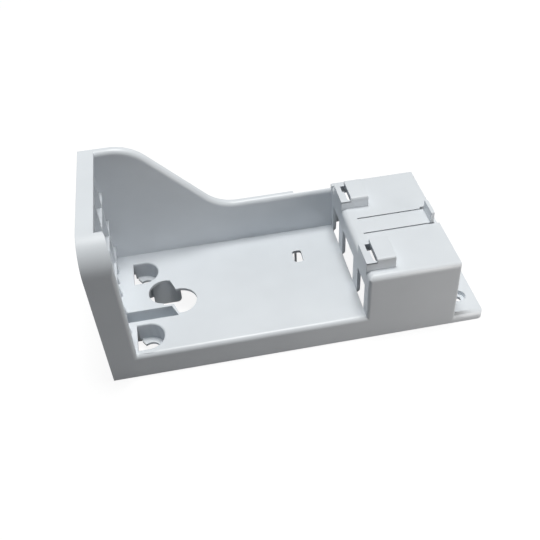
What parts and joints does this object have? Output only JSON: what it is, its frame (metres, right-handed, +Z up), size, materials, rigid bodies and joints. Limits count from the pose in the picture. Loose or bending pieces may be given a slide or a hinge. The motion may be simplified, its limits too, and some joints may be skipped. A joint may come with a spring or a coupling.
{
  "type": "ice maker bracket",
  "caption": "Open moulded bracket with a deck, a tall ribbed end wall, an S-curved back wall, a hollow latch housing and a screw flange that carries an ice maker.",
  "frame": {"origin": "middle of the footprint, on the plane of the rim that the moulding stands on", "axes": "+X along the length from the tall end wall to the screw flange, +Y from the open front to the back wall, +Z up"},
  "size_m": [0.3, 0.1246, 0.131],
  "materials": {
    "bracket": "glossy moulded ABS, ice white"
  },
  "bodies": {
    "root": {"bracket": "bracket"}
  },
  "joints": []
}
